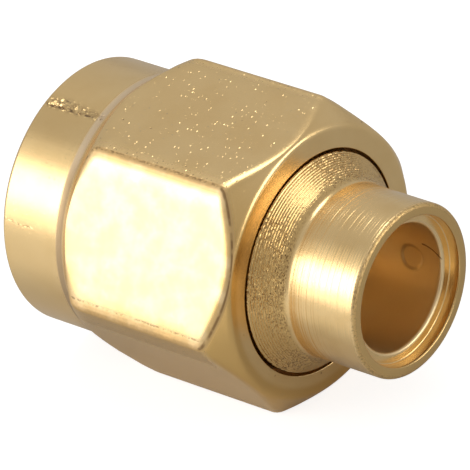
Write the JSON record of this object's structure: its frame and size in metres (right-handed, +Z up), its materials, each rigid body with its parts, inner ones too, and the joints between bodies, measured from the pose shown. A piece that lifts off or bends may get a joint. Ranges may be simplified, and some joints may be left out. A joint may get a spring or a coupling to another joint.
{
  "type": "sma connector",
  "caption": "Straight gold-plated coaxial plug for semi-rigid cable: a free-turning hexagonal coupling nut on a turned body with a solder sleeve and a centre pin.",
  "frame": {"origin": "on the plug's axis at the reference plane, the front face of the outer contact", "axes": "+X along the axis towards the cable end, so the mating end points along -X; +Z up, normal to the upper flat of the coupling nut, as the plug lies on the opposite flat; +Y completes the right-handed frame"},
  "size_m": [0.0116, 0.0092, 0.008],
  "materials": {
    "gold_nut": "gold plated, satin",
    "gold_body": "gold plated, turned",
    "spring_bronze": "plain spring bronze",
    "insulator_white": "white fluoropolymer, waxy",
    "gold_contact": "gold plated, bright",
    "gasket_red": "silicone, matte"
  },
  "bodies": {
    "plug": {"connector_body": "gold_body", "snap_ring": "spring_bronze", "insulator": "insulator_white", "centre_contact": "gold_contact", "gasket": "gasket_red"},
    "nut": {"coupling_nut": "gold_nut"}
  },
  "joints": [
    {"name": "nut_spin", "type": "hinge", "parent": "plug", "child": "nut", "pos_m": [0.00384, 0, 0], "axis": [1, 0, 0], "continuous": true}
  ]
}
